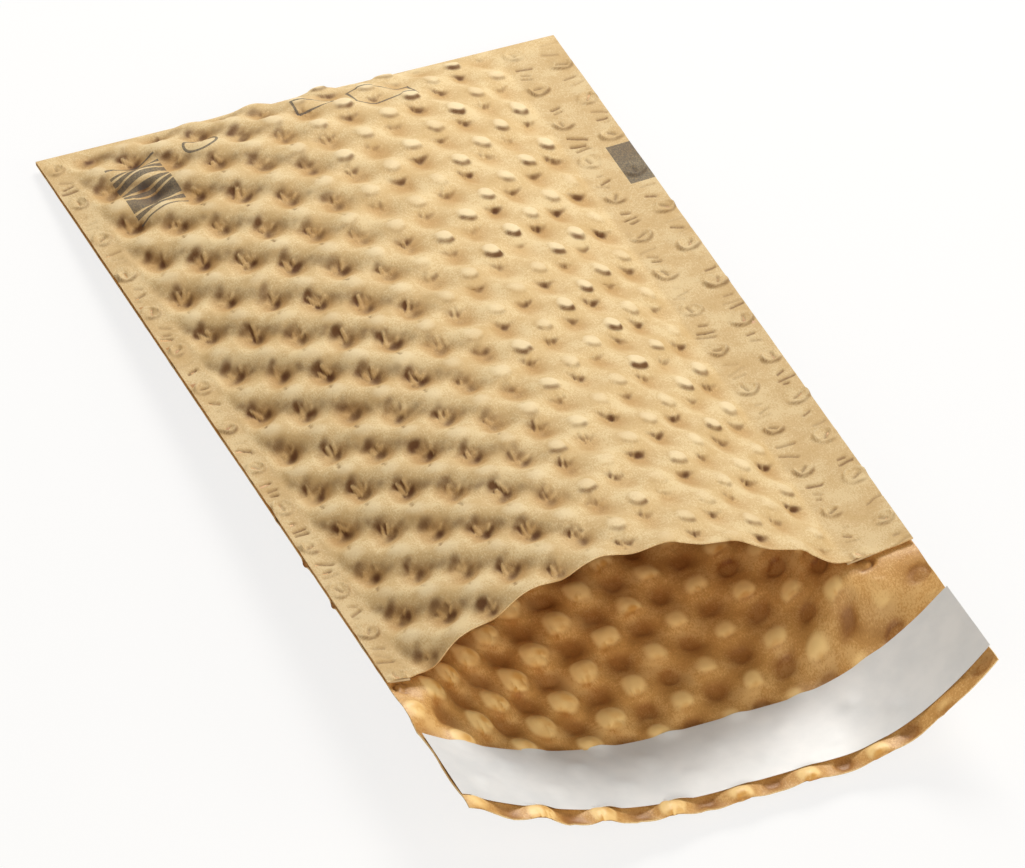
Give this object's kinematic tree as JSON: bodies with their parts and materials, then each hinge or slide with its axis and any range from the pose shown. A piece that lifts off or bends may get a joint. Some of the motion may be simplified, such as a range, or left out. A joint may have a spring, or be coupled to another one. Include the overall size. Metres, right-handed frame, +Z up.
{
  "type": "padded mailer",
  "caption": "Open padded mailer of embossed kraft paper, folded from one sheet with glued side seams, and a flap with a peel-off liner over its adhesive.",
  "frame": {"origin": "centre of the bounding box's bottom, on the table that the mailer lies on", "axes": "+Y along the mailer, from the flap to the far fold; +X across it, to the wide seam's side; +Z up"},
  "size_m": [0.14, 0.272, 0.0416],
  "materials": {
    "kraft_paper": "matt unbleached kraft paper, embossed",
    "hot_melt_glue": "set hot-melt glue, slightly glossy",
    "flap_adhesive": "tacky pressure-sensitive adhesive",
    "release_paper": "silicone-coated release paper, satin"
  },
  "bodies": {
    "root": {"kraft_front": "kraft_paper", "kraft_back": "kraft_paper", "seam_glue_left": "hot_melt_glue", "seam_glue_right": "hot_melt_glue", "flap_adhesive": "flap_adhesive", "release_liner": "release_paper"}
  },
  "joints": []
}
